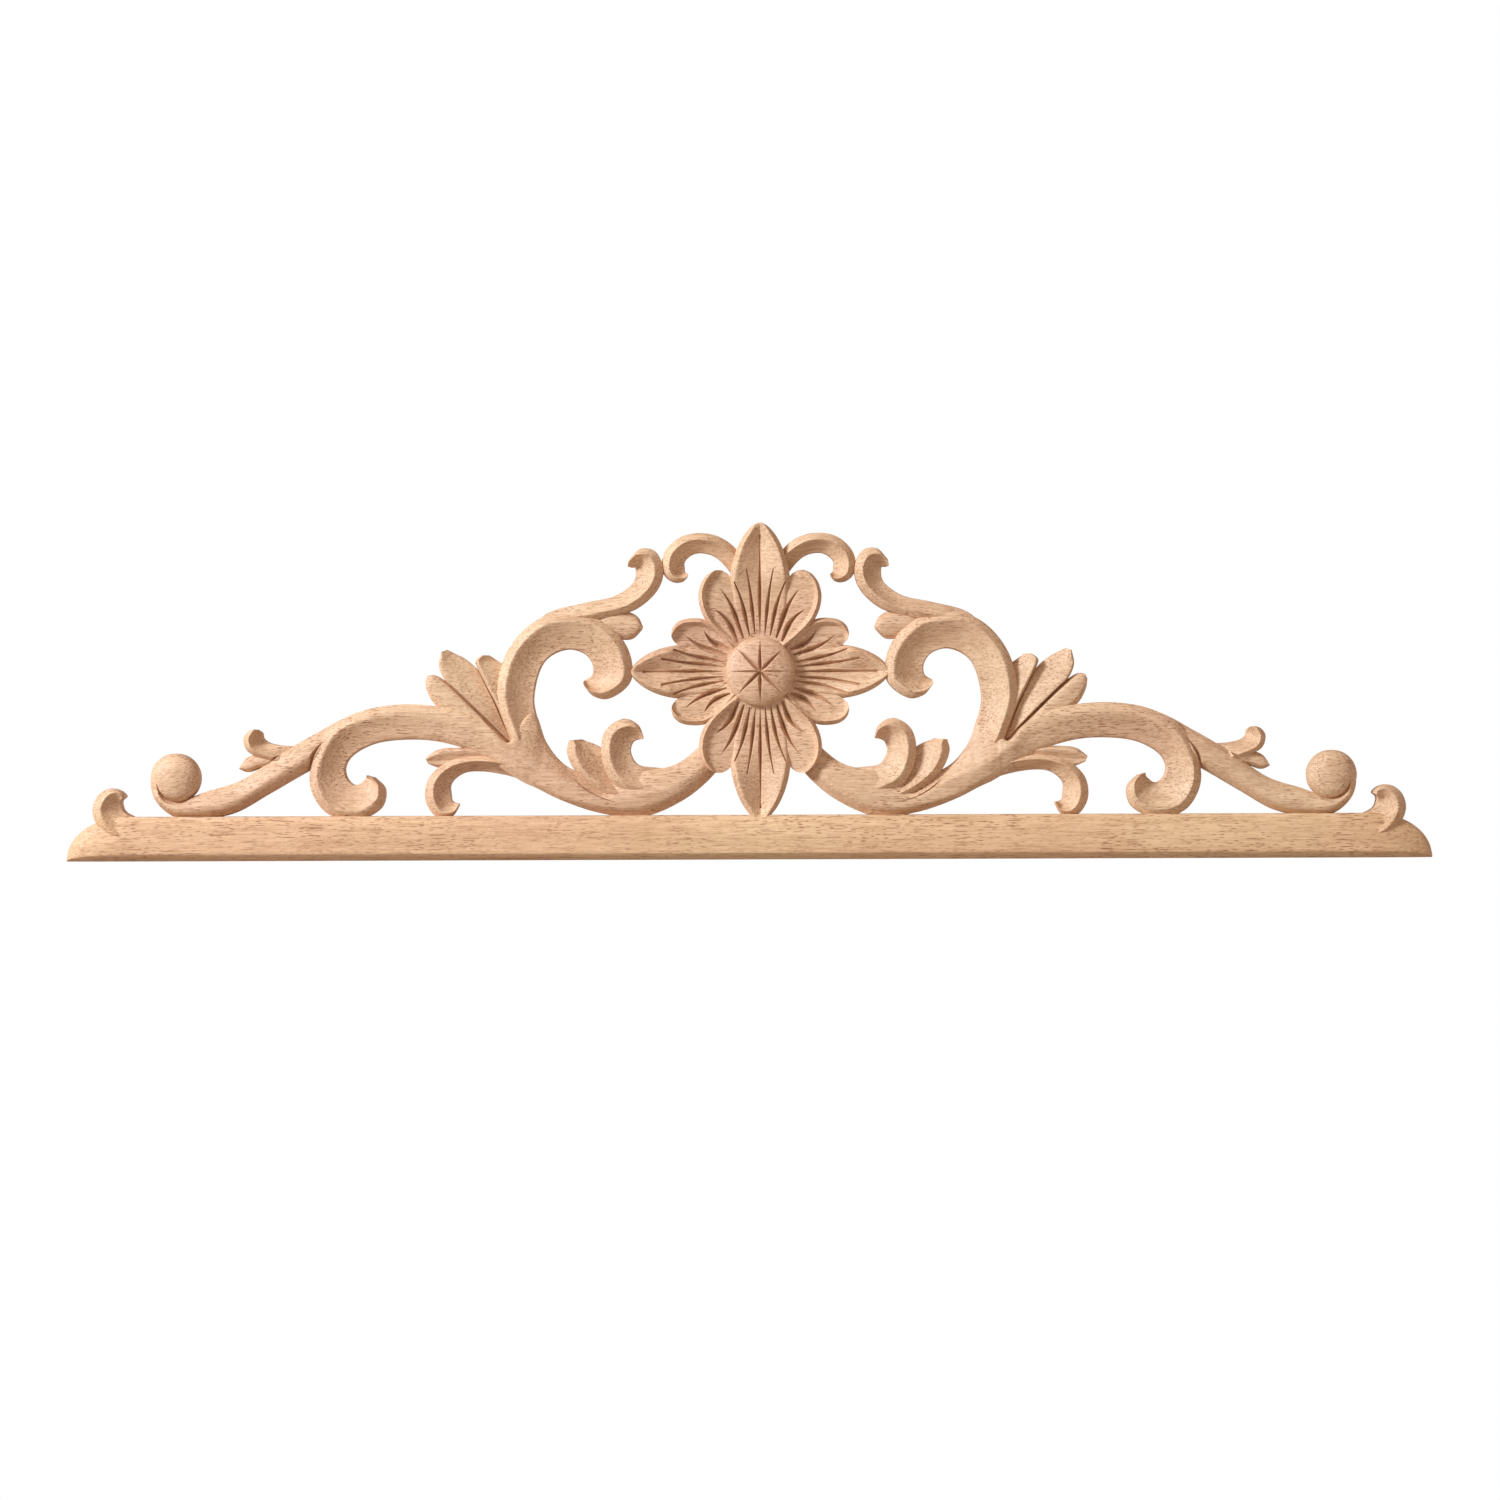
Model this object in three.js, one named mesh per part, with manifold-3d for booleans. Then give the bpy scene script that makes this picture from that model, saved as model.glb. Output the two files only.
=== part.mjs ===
// Carved headpiece: a wood applique with a base rail, a central flower, and two arms of
// scrolls, leaves and stems. One board, carved on the front and flat on the back.
// Millimetres, +Z up. X runs along the rail, the carved front faces -Y and the flat back
// lies in the plane Y = 0. The origin is on the back, at the middle of the rail.
import * as THREE from 'three';
import { mergeVertices } from 'three/addons/utils/BufferGeometryUtils.js';
import Module from 'manifold-3d';

const wasm = await Module();
wasm.setup();

// Driving dimensions
const LENGTH = 600;
const RAIL_HEIGHT = 19.5;
const RAIL_FRONT = 16.2;
const RAIL_CHAMFER = 2.2;
const RAIL_CHAMFER_SETBACK = 3;
const RAIL_CROWN = 3;
const RAIL_END_ROUND = 26.5;
const RAIL_END_LIP = 0.1;
const RAIL_END_DEPTH = 0.55;
const FLOWER_ASIDE = 5;
const RIGHT_ARM_SHARE = 0.977;
const SCROLL_RIDGE = 15;
const LEAF_LEVEL = 12.5;
const RIM_WIDTH = 4;
const TIP_DROP = 1.2;
const RIM_BEVEL = 4.2;
const COVE_FALL = 5.2;
const BOSS_TOP = 18;
const BOSS_EDGE = 12.5;
const PETAL_TOP = 15;
const PETAL_ROOT = 11.5;
const PETAL_DISH = 2.6;
const PETAL_BEVEL = 3.2;
const LEVEL_PETALS_DROP = 1.4;
const VEIN_DEPTH = 1.7;
const CUT_SLOPE = 0.55;
const BOSS_CUT_DEPTH = 1.6;
const BALL_TOP = 16;
const WOOD_COLOUR = 0xdcb08a;

// The carving is drawn on a board of 600 units, so its outline follows the length
const DRAWING_LENGTH = 600;
const UNIT = LENGTH / DRAWING_LENGTH;
const RAIL_TOP = RAIL_HEIGHT / 2;
const RAIL_UNDERSIDE = -RAIL_HEIGHT / 2;
const FLOWER_X = FLOWER_ASIDE * UNIT;
const FLOWER_RISE = 63;
const FLOWER_Z = RAIL_TOP + FLOWER_RISE * UNIT;

// Scrolls, leaves and stems of one arm, in drawing units from the flower's axis and the
// rail's top. Each row is one section: outer edge x, z, then inner edge x, z. The outer
// edge is the one that carries the rolled rim.
const C_SCROLL = [
  [-105.5, 25, -96, 31.5], [-110.5, 34.5, -97.5, 40],
  [-115.5, 53, -99.5, 52], [-110.5, 73, -94.5, 68], [-95.5, 87, -84.5, 73], [-72, 87, -76.5, 70.5],
  [-58.5, 74, -73.5, 65.5], [-57, 59, -74, 61.5], [-67.5, 51, -76, 60], [-77, 56.5, -77.5, 59],
];
const UPPER_SCROLL = [
  [-101, 73.5, -105, 77], [-87, 83, -94, 88.5], [-69.5, 86.5, -76.5, 93.5], [-54, 91, -63.5, 96.5],
  [-44.5, 100, -55.5, 102.5], [-42.5, 108.5, -54.5, 107], [-46, 116, -55, 109],
  [-52.5, 117, -56.5, 109], [-57.5, 112, -58, 109.5],
];
const CREST = [
  [-3.5, 105.5, -5, 92.5], [-12, 118.5, -12.5, 106], [-22, 123.5, -20.5, 114], [-34, 122.5, -28.5, 115],
  [-41.5, 116, -33, 111.5], [-43, 108.5, -33, 108.5], [-39, 102.5, -32.5, 106.5], [-33, 103.5, -31.5, 105.5],
];
const ARCH = [
  [-104, 31.5, -101.5, 16], [-122, 43.5, -121, 26], [-140.5, 48, -140.5, 32.5],
  [-158.5, 49, -157.5, 33.5], [-175.5, 46, -170.5, 31.5], [-188.5, 39, -180, 26], [-196.5, 26, -182.5, 21],
  [-197.5, 12.5, -181.5, 16.5], [-190.5, 1.5, -179, 14], [-177, -1.5, -176.5, 14], [-166.5, 4, -174.5, 15.5],
  [-165, 12, -173.5, 16.5], [-169.5, 17, -173, 18],
];
const TRUNK = [
  [-133, 30, -131, 43], [-118.5, 22.5, -116.5, 36.5], [-107.5, 16.5, -103.5, 39.5],
  [-99, 12, -94.5, 32.5], [-88, 7, -85, 21.5], [-74.5, 2.5, -70, 15.5], [-61.5, 1, -55, 15.5],
];
const STEM = [
  [-169.5, 35.5, -162, 44.5], [-182.5, 28, -177.5, 45], [-198.5, 20, -196, 36], [-216, 10, -211.5, 27],
  [-231.5, 1.5, -228, 16], [-245, -1, -242, 11.5], [-257.5, 0, -254, 8], [-265.5, 7, -261.5, 10],
  [-268, 15.5, -264, 15], [-266, 21.5, -265, 20.5],
];
const LOWER_CURL = [
  [-70, 8.5, -69, 1.5], [-88, 15.5, -88, 7], [-107.5, 24, -105.5, 16], [-125, 26.5, -122.5, 19.5],
  [-138, 23.5, -131, 18.5], [-146, 16, -136, 14], [-147, 6.5, -136, 9], [-142, -0.5, -135.5, 6.5],
  [-135.5, 0, -133.5, 5.5], [-132.5, 4.5, -132.5, 5.5],
];
const INNER_SCROLL = [
  [-32, 12, -30.5, 20], [-50.5, 8, -46, 21], [-65, 14.5, -54, 22.5], [-70, 28, -57, 28],
  [-67.5, 38, -56, 32], [-59.5, 42.5, -54.5, 33], [-53.5, 39.5, -52.5, 33.5], [-51.5, 34.5, -51.5, 33.5],
];
const FOOT = [
  [-92, 9.5, -88, 17], [-70, 0, -68, 16], [-52.5, -0.8, -50, 19.5], [-35, 6, -37, 22.5],
  [-22.5, 15.7, -27, 30], [-12, 29, -18, 40],
];
const TWIG = [
  [-204.5, 19.5, -197, 31.5], [-216.5, 24.5, -207.5, 31], [-225.5, 29, -216, 32.5],
  [-227, 35, -219, 35.5], [-223, 38, -220, 37],
];
const BUD = [
  [-79, 85.5, -77, 80.5], [-61.5, 90, -65, 78], [-54, 87.5, -56.5, 77.5], [-51.5, 83, -52, 81.5],
];
const CURL_LEAF = [
  [-112, 29, -112, 21], [-132.5, 30, -131, 22], [-142, 29, -140.5, 21], [-147, 25.5, -146, 23],
];
const INNER_LEAF = [
  [-58, 5, -50, 10], [-70, 10, -59, 14], [-81, 19, -66.5, 21], [-85, 28, -70, 29.5], [-84, 33, -78.5, 33.5],
];
const TWIG_LEAF = [
  [-207.5, 20.5, -207.5, 28.5], [-218.5, 21.5, -218.5, 28], [-225.5, 19.5, -225.5, 26], [-229, 21, -228, 23],
];
const FAN_LEAVES = [
  [[-109, 31, -112, 29.5], [-125, 47, -128.5, 40], [-139.5, 60, -142.5, 48.5], [-143.5, 62, -146.5, 55.5],
    [-146, 61.5, -147, 59.5]],
  [[-109.5, 31.5, -108, 34], [-123.5, 45, -115, 49], [-136.5, 57, -122.5, 62], [-141, 65.5, -129, 68.5],
    [-140, 72, -137.5, 73]],
  [[-109.5, 32.5, -106.5, 34], [-115.5, 48, -107.5, 51], [-123.5, 63, -110, 65], [-125, 68, -114.5, 67.5],
    [-122, 70.5, -119, 70.5]],
];
// The curl at each end of the rail, from the rail's own end
const END_CURL = [
  [27, -13, 41, -7.5], [16.5, -7, 32.5, -1.5], [12, 2, 25.5, 2.5], [14, 9, 24.5, 6], [19.5, 12.5, 24.5, 7.5],
  [24, 11, 25, 8], [26, 9, 26, 8],
];
// The ball that each stem curls round
const BALL_AT = [-257, 17];
const BALL_RADIUS = 10.8;

// Flower, in drawing units from its own centre. A pointed lobe has its greatest half
// width at the distance `belly` and its tip at `reach`.
const BOSS_RADIUS = 15.2;
const UPRIGHT = { belly: 35, reach: 65.5, half: 13.5, blunt: 0.6 };
const LEVEL = { belly: 33, reach: 57, half: 11.8, blunt: 0.65 };
const UPRIGHT_SIDE_LOBE = [
  [-11, 10, -3.5, 14.5], [-17, 15, -6.5, 23.5], [-22.5, 20.5, -8.5, 30], [-26, 27, -10, 35],
  [-27, 33.5, -12, 39], [-25.5, 39, -14.5, 42.5], [-22, 43, -18, 44.5],
];
const LEVEL_SIDE_LOBE = [
  [11, 10, 5, 13], [19, 18, 6.5, 20], [23, 24.5, 8, 26.5], [23.5, 30, 9.5, 31.5], [22.5, 35, 11, 35],
  [19, 38, 12.5, 37], [15.5, 38.8, 13.5, 37.5],
];
// Veins: degrees from the lobe's middle line, and how far out each one runs
const UPRIGHT_VEINS = [[0, 58.5], [7.5, 42], [15.5, 37], [25.5, 39.5], [34, 32.5]];
const LEVEL_VEINS = [[0, 52.5], [8.5, 42], [16, 34.5], [26.5, 34], [37, 27.7]];
const VEIN_START = BOSS_RADIUS + 1.1;
const BOSS_CUT_REACH = 0.98 * BOSS_RADIUS;

// How far the far end of a cut climbs, the share of a band over which its end sinks, and
// the share of a scroll over which a shallow cove deepens
const VEIN_RUNOUT = 2;
const BOSS_CUT_RUNOUT = 0.3;
const SINK_RUN = 0.25;
const COVE_RUN = 0.5;
const SHALLOW_COVE = 0.3;

// Cross-sections of the carved bands: share of the way from the outer to the inner edge,
// and height above the level of the band
const STEM_SECTION = [[0, -5.5], [0.25, -0.8], [0.6, 0], [1, -3.2]];
const TRUNK_SECTION = [[0, -4.5], [0.2, -0.9], [0.45, 0], [1, -3]];
const LEAF_SECTION = [[0, -2.4], [0.3, 0], [0.7, -0.6], [1, -3]];
const SIDE_LOBE_SECTION = [[0, -PETAL_BEVEL], [0.16, 0], [0.55, -PETAL_DISH], [1, -PETAL_DISH]];

// A rolled rim on the outer edge, and a cove that falls to the inner edge
function scrollSection(width, cove) {
  const rim = Math.min(0.34, RIM_WIDTH / width);
  const fall = COVE_FALL * cove;
  return [[0, -RIM_BEVEL], [rim, 0], [(1 + rim) / 2, -0.65 * fall], [1, -fall]];
}

// A dished lobe. Its rims rise once it stands clear of the lobes at its sides.
function lobeSection(width, share) {
  const clear = Math.min(1, Math.max(0, (share - 0.28) / 0.15));
  const rim = -PETAL_DISH * (1 - clear);
  const brink = rim - PETAL_BEVEL;
  return [[0, brink], [0.12, rim], [0.5, -1.2 * PETAL_DISH], [0.88, rim], [1, brink]];
}

// A closed solid from rings of points. Every ring has the same number of points, and the
// first and last ring are closed with a fan from their own first point.
function solidFromRings(rings) {
  const count = rings[0].length;
  const positions = rings.flat(2);
  const index = [];
  for (let k = 0; k + 1 < rings.length; k += 1) {
    for (let j = 0; j < count; j += 1) {
      const a = k * count + j;
      const b = k * count + (j + 1) % count;
      index.push(a, b, b + count, a, b + count, a + count);
    }
  }
  const last = (rings.length - 1) * count;
  for (let j = 1; j + 1 < count; j += 1) {
    index.push(0, j + 1, j);
    index.push(last, last + j, last + j + 1);
  }
  return toManifold(positions, index);
}

// Turns a faceted body inside out if its faces point inwards, and makes it a solid
function toManifold(positions, index) {
  let volume = 0;
  const corner = (i) => new THREE.Vector3(...positions.slice(3 * i, 3 * i + 3));
  for (let i = 0; i < index.length; i += 3) {
    volume += corner(index[i]).dot(corner(index[i + 1]).cross(corner(index[i + 2])));
  }
  const faces = volume < 0 ? [...index].reverse() : index;
  const mesh = new wasm.Mesh({
    numProp: 3,
    vertProperties: new Float32Array(positions),
    triVerts: new Uint32Array(faces),
  });
  return new wasm.Manifold(mesh);
}

// A three.js geometry as a solid
function geometrySolid(geometry) {
  geometry.deleteAttribute('normal');
  geometry.deleteAttribute('uv');
  const merged = mergeVertices(geometry, 1e-4);
  return toManifold(Array.from(merged.attributes.position.array), Array.from(merged.index.array));
}

const edge = (points) => new THREE.CatmullRomCurve3(points, false, 'centripetal');

// A carved band between two smooth edges. `level` gives the height of its ridge from the
// place on the board, and `place` puts a point of the drawing on the board. `sink` is how
// far its start and its end go down into what they grow from.
function band(rows, { section, level, place, sink = [0, 0], steps = 1.5 }) {
  const outer = edge(rows.map((row) => new THREE.Vector3(row[0], 0, row[1])));
  const inner = edge(rows.map((row) => new THREE.Vector3(row[2], 0, row[3])));
  const stations = Math.round((rows.length - 1) * steps);
  const rings = [];
  for (let k = 0; k <= stations; k += 1) {
    const a = outer.getPoint(k / stations);
    const b = inner.getPoint(k / stations);
    const width = a.distanceTo(b) * UNIT;
    const fade = Math.min(1, width / (2 * RIM_WIDTH));
    const share = k / stations;
    const atStart = Math.max(0, 1 - share / SINK_RUN);
    const atEnd = Math.max(0, 1 - (1 - share) / SINK_RUN);
    const sunk = sink[0] * atStart + sink[1] * atEnd;
    const ring = section(width, share).map(([across, rise]) => {
      const [x, z] = place(a.x + (b.x - a.x) * across, a.z + (b.z - a.z) * across);
      return [x, sunk - level(x, z) - rise * fade + TIP_DROP * (1 - fade), z];
    });
    const [ax, az] = place(a.x, a.z);
    const [bx, bz] = place(b.x, b.z);
    rings.push([...ring, [bx, 0, bz], [ax, 0, az]]);
  }
  return solidFromRings(rings);
}

// The rail: one moulded section, swept from end to end, with its ends rounded over
function rail() {
  const front = [
    [RAIL_FRONT - RAIL_CHAMFER_SETBACK, 0],
    [RAIL_FRONT - 0.2 * RAIL_CROWN, RAIL_CHAMFER],
    [RAIL_FRONT, 0.45 * RAIL_HEIGHT],
    [RAIL_FRONT - 0.17 * RAIL_CROWN, 0.75 * RAIL_HEIGHT],
    [RAIL_FRONT - 0.53 * RAIL_CROWN, 0.93 * RAIL_HEIGHT],
    [RAIL_FRONT - RAIL_CROWN, RAIL_HEIGHT],
  ];
  const ring = (x, rise, depth) => [
    ...front.map(([y, z]) => [x, -y * depth, RAIL_UNDERSIDE + z * rise]),
    [x, 0, RAIL_UNDERSIDE + RAIL_HEIGHT * rise],
    [x, 0, RAIL_UNDERSIDE],
  ];
  const turns = 5;
  const end = (side) => Array.from({ length: turns + 1 }, (_, k) => {
    const angle = (Math.PI / 2) * (k / turns);
    const inward = RAIL_END_ROUND * (1 - Math.cos(angle));
    const rise = Math.max(RAIL_END_LIP, Math.sin(angle));
    const depth = RAIL_END_DEPTH + (1 - RAIL_END_DEPTH) * Math.sin(angle);
    return ring(side * (LENGTH / 2 - inward), rise, depth);
  });
  return solidFromRings([...end(-1), ...end(1).reverse()]);
}

// One arm: side -1 is the left one. `share` makes an arm shorter than it is drawn.
function arm(side, share) {
  const onArm = (x, z) => [FLOWER_X - side * x * share * UNIT, RAIL_TOP + z * UNIT];
  const onRailEnd = (x, z) => [side * (LENGTH / 2 - x * UNIT), RAIL_TOP + z * UNIT];
  const carve = (rows, section, height, sink, place = onArm) => (
    band(rows, { section, level: () => height, place, sink })
  );
  const coved = (start) => (width, share) => {
    const cove = start + (1 - start) * Math.min(1, share / COVE_RUN);
    return scrollSection(width, cove);
  };
  const scroll = (rows, below, sink, start = 1) => carve(rows, coved(start), SCROLL_RIDGE - below, sink);
  const stem = (rows, sink, section = STEM_SECTION) => carve(rows, () => section, SCROLL_RIDGE - 1, sink);
  const leaf = (rows, below = 0) => carve(rows, () => LEAF_SECTION, LEAF_LEVEL - below, [3, 0]);
  const [ballX, ballZ] = onArm(...BALL_AT);
  return [
    scroll(C_SCROLL, 0, [2, 0]),
    scroll(UPPER_SCROLL, 0.4, [5, 0], SHALLOW_COVE),
    scroll(CREST, 1.5, [5, 0]),
    scroll(ARCH, 0.5, [3, 0], SHALLOW_COVE),
    scroll(LOWER_CURL, 1.5, [5, 0]),
    scroll(INNER_SCROLL, 0, [5, 0]),
    scroll(TWIG, 1.5, [5, 0]),
    scroll(INNER_LEAF, 1.5, [5, 0]),
    carve(END_CURL, coved(1), SCROLL_RIDGE + 0.5, [5, 0], onRailEnd),
    stem(TRUNK, [4, 3], TRUNK_SECTION),
    stem(STEM, [7, 2]),
    stem(FOOT, [4, 6]),
    leaf(BUD),
    leaf(CURL_LEAF),
    leaf(TWIG_LEAF, 1.5),
    ...FAN_LEAVES.map((rows) => leaf(rows)),
    dome(BALL_RADIUS * UNIT, 0.6 * BALL_TOP, BALL_TOP, 20).translate([ballX, 0, ballZ]),
  ];
}

// A round dome that stands out of the back plane, rising towards -Y
function dome(radius, edge, top, around) {
  const profile = [new THREE.Vector2(0, 0), new THREE.Vector2(radius, 0)];
  const turns = 4;
  for (let k = 0; k <= turns; k += 1) {
    const angle = (Math.PI / 2) * (k / turns);
    profile.push(new THREE.Vector2(radius * Math.cos(angle), edge + (top - edge) * Math.sin(angle)));
  }
  profile[profile.length - 1].x = 0;
  return geometrySolid(new THREE.LatheGeometry(profile, around).rotateX(Math.PI));
}

// Height of the petals' rims at a distance from the flower's axis
function petalLevel(distance) {
  const swell = Math.sin(Math.PI * Math.min(1, Math.max(0, (distance - 10) / 70)));
  return PETAL_ROOT + (PETAL_TOP - PETAL_ROOT) * swell;
}

// Puts a point of the flower's drawing on the board, as drawn or mirrored
function onFlower(turned, mirrored) {
  return (x, z) => {
    const [px, pz] = turned(mirrored * x, z);
    return [FLOWER_X + px * UNIT, FLOWER_Z + pz * UNIT];
  };
}

// Sections of a pointed lobe that stands on the flower's axis
function lobeRows({ belly, reach, half, blunt }) {
  const rows = [[-5, 10, 5, 10], [-half * 0.85, belly * 0.62, half * 0.85, belly * 0.62]];
  const turns = 5;
  for (let k = 0; k <= turns; k += 1) {
    const share = Math.sin((Math.PI / 2) * (k / turns)) * 0.995;
    const width = half * (1 - share * share) ** blunt;
    const out = belly + (reach - belly) * share;
    rows.push([-width, out, width, out]);
  }
  return rows;
}

// Four groups of three lobes. The upright groups stand above the level ones.
const UPRIGHT_GROUP = { lobe: UPRIGHT, side: UPRIGHT_SIDE_LOBE, veins: UPRIGHT_VEINS, drop: 0 };
const LEVEL_GROUP = { lobe: LEVEL, side: LEVEL_SIDE_LOBE, veins: LEVEL_VEINS, drop: LEVEL_PETALS_DROP };
const GROUPS = [
  { ...UPRIGHT_GROUP, turned: (x, z) => [x, z] },
  { ...UPRIGHT_GROUP, turned: (x, z) => [x, -z] },
  { ...LEVEL_GROUP, turned: (x, z) => [-z, x] },
  { ...LEVEL_GROUP, turned: (x, z) => [z, x] },
];

function petalGroup({ lobe, side, drop, turned }) {
  const level = (x, z) => petalLevel(Math.hypot(x - FLOWER_X, z - FLOWER_Z) / UNIT) - drop;
  const sideLobe = (mirrored) => (
    band(side, { section: () => SIDE_LOBE_SECTION, level, place: onFlower(turned, mirrored) })
  );
  const middle = band(lobeRows(lobe), { section: lobeSection, level, place: onFlower(turned, 1), steps: 1 });
  return [middle, sideLobe(1), sideLobe(-1)];
}

// A V-shaped cut along a line of the flower, deepest at a third of its run
function cut({ from, to, angle = 0, turned, floorAt, depth, top, runout }) {
  const rings = [];
  const stations = 3;
  for (let k = 0; k <= stations; k += 1) {
    const share = k / stations;
    const out = from + (to - from) * share;
    const bend = angle * (1 + 0.12 * (share * share - 0.5));
    const bite = depth * Math.sin(Math.PI * (0.18 + 0.82 * share) ** 0.75);
    const floor = floorAt(out) - bite + runout * share ** 3;
    const half = CUT_SLOPE * (top - floor);
    const [cx, cz] = turned(out * Math.sin(bend), out * Math.cos(bend));
    const [nx, nz] = turned(Math.cos(bend), -Math.sin(bend));
    const x = FLOWER_X + cx * UNIT;
    const z = FLOWER_Z + cz * UNIT;
    rings.push([[x, -floor, z], [x + nx * half, -top, z + nz * half], [x - nx * half, -top, z - nz * half]]);
  }
  return solidFromRings(rings);
}

// The veins that fan out over one group of petals
function veinCuts({ veins, drop, turned }) {
  const floorAt = (out) => petalLevel(out) - PETAL_DISH - drop;
  const style = { from: VEIN_START, turned, floorAt, depth: VEIN_DEPTH, top: PETAL_TOP + 1 };
  return veins.flatMap(([degrees, to]) => {
    const slant = THREE.MathUtils.degToRad(degrees);
    const slants = slant === 0 ? [0] : [-slant, slant];
    return slants.map((angle) => cut({ ...style, to, angle, runout: VEIN_RUNOUT }));
  });
}

// Eight cuts across the boss, meeting at its top
function bossCuts() {
  const floorAt = (out) => BOSS_EDGE + (BOSS_TOP - BOSS_EDGE) * Math.sqrt(1 - (out / BOSS_RADIUS) ** 2);
  const style = { from: -0.4, to: BOSS_CUT_REACH, floorAt, depth: BOSS_CUT_DEPTH, top: BOSS_TOP + 1 };
  return Array.from({ length: 8 }, (_, k) => {
    const [sin, cos] = [Math.sin((Math.PI / 4) * k), Math.cos((Math.PI / 4) * k)];
    const turned = (x, z) => [x * cos + z * sin, z * cos - x * sin];
    return cut({ ...style, turned, runout: BOSS_CUT_RUNOUT });
  });
}

function joined(solids) {
  return solids.reduce((sum, solid) => sum.add(solid));
}

function flower() {
  const petals = joined(GROUPS.flatMap(petalGroup));
  const boss = dome(BOSS_RADIUS * UNIT, BOSS_EDGE, BOSS_TOP, 32).translate([FLOWER_X, 0, FLOWER_Z]);
  const veined = petals.subtract(joined(GROUPS.flatMap(veinCuts)));
  return veined.add(boss.subtract(joined(bossCuts())));
}

function toMesh(name, solid) {
  const { vertProperties, triVerts } = solid.getMesh();
  const geometry = new THREE.BufferGeometry();
  geometry.setAttribute('position', new THREE.BufferAttribute(vertProperties, 3));
  geometry.setIndex(new THREE.BufferAttribute(triVerts, 1));
  geometry.computeVertexNormals();
  const wood = new THREE.MeshStandardMaterial({ color: WOOD_COLOUR, roughness: 0.75, metalness: 0 });
  const mesh = new THREE.Mesh(geometry, wood);
  mesh.name = name;
  return mesh;
}

const headpiece = new THREE.Group();
const carving = joined([rail(), ...arm(-1, 1), ...arm(1, RIGHT_ARM_SHARE), flower()]);
headpiece.add(toMesh('headpiece', carving));

export default headpiece;
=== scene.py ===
"""Carved headpiece: a wood applique with a rail, a central flower and two arms of scrolls.

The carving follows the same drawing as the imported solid: bands between two smooth edges,
each with its own cross-section, all joined into one closed mesh. Metres, +Z up. X runs
along the rail, the carved front faces -Y and the flat back lies at Y = 0. Lengths in the
tables are units of the drawing, which is 600 units long.
"""
import math

import bpy
import numpy as np
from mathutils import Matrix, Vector, noise


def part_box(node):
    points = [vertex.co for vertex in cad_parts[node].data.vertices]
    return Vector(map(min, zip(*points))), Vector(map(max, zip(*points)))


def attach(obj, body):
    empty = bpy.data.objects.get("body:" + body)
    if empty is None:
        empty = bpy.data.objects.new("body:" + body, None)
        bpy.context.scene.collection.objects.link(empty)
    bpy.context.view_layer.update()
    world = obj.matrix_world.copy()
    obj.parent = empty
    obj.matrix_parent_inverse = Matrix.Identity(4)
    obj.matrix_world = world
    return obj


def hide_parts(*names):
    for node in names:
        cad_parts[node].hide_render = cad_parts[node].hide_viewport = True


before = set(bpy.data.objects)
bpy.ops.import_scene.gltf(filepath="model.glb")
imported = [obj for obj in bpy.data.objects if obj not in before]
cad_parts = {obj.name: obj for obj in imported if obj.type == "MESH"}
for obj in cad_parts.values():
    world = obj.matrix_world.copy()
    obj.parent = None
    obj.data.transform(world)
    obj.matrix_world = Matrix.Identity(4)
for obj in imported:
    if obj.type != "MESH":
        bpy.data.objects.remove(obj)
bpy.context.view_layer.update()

# The drawing's scale and main places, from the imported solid
LOW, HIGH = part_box("headpiece")
DRAWING_LENGTH = 600
UNIT = (HIGH.x - LOW.x) / DRAWING_LENGTH
RAIL_HEIGHT = -2 * LOW.z / UNIT
RAIL_TOP = RAIL_HEIGHT / 2
FLOWER_X = 5
FLOWER_Z = RAIL_TOP + 63
RIGHT_ARM_SHARE = 0.977

# The rail. Its ends are rounded over to a share of its height and of its depth.
RAIL_FRONT = 16.2
RAIL_CHAMFER = 3.0
RAIL_CHAMFER_SETBACK = 4.2
RAIL_EDGE = 0.2
RAIL_CROWN = 2.6
RAIL_CROWN_FROM = 0.35
RAIL_CROWN_CURVE = 2.6
RAIL_STATIONS = (0.22, 0.32, 0.42, 0.52, 0.62, 0.7, 0.77, 0.83, 0.88, 0.92, 0.955, 0.98, 1)
RAIL_STEP = 2
RAIL_END_ROUND = 26.5
RAIL_END_TURNS = 24
RAIL_END_LIP = 0.1
RAIL_END_DEPTH = 0.55

# Heights of the arms above the flat back, and depths of their carving
SCROLL_RIDGE = 15
LEAF_LEVEL = 12.5
RIM_WIDTH = 3.8
SMALL_RIM_WIDTH = 2.5
RIM_SHARE = 0.34
RIM_BEVEL = 3.2
RIM_CURVE = 0.85
COVE_FALL = 5.2
COVE_CURVE = 1.7
COVE_LIP = 0.7
COVE_LIP_SHARE = 0.03
TIP_DROP = 1.2
CREASE_TOP = 19
RIGHT_TRUNK_LOWER = 2.4
BALL_TOP = 16
BALL_EDGE = 0.6 * BALL_TOP

# Heights and depths of the flower
BOSS_TOP = 17.8
BOSS_EDGE = 12.5
BOSS_RADIUS = 15.2
PETAL_TOP = 15
PETAL_ROOT = 12.8
PETAL_RISE_FROM = 10
PETAL_RISE_RUN = 70
PETAL_BEVEL = 3.2
PETAL_RIM_CURVE = 0.8
LEVEL_PETALS_DROP = 1.4

# The petals' dish, the part of it that their roots have, and where it is in full: the share
# of a lobe's length, and the run of a vein
PETAL_DISH = 2.9
ROOT_DISH = 0.45
ROOT_DISH_SHARE = 0.2
ROOT_DISH_RUN = 16

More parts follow.
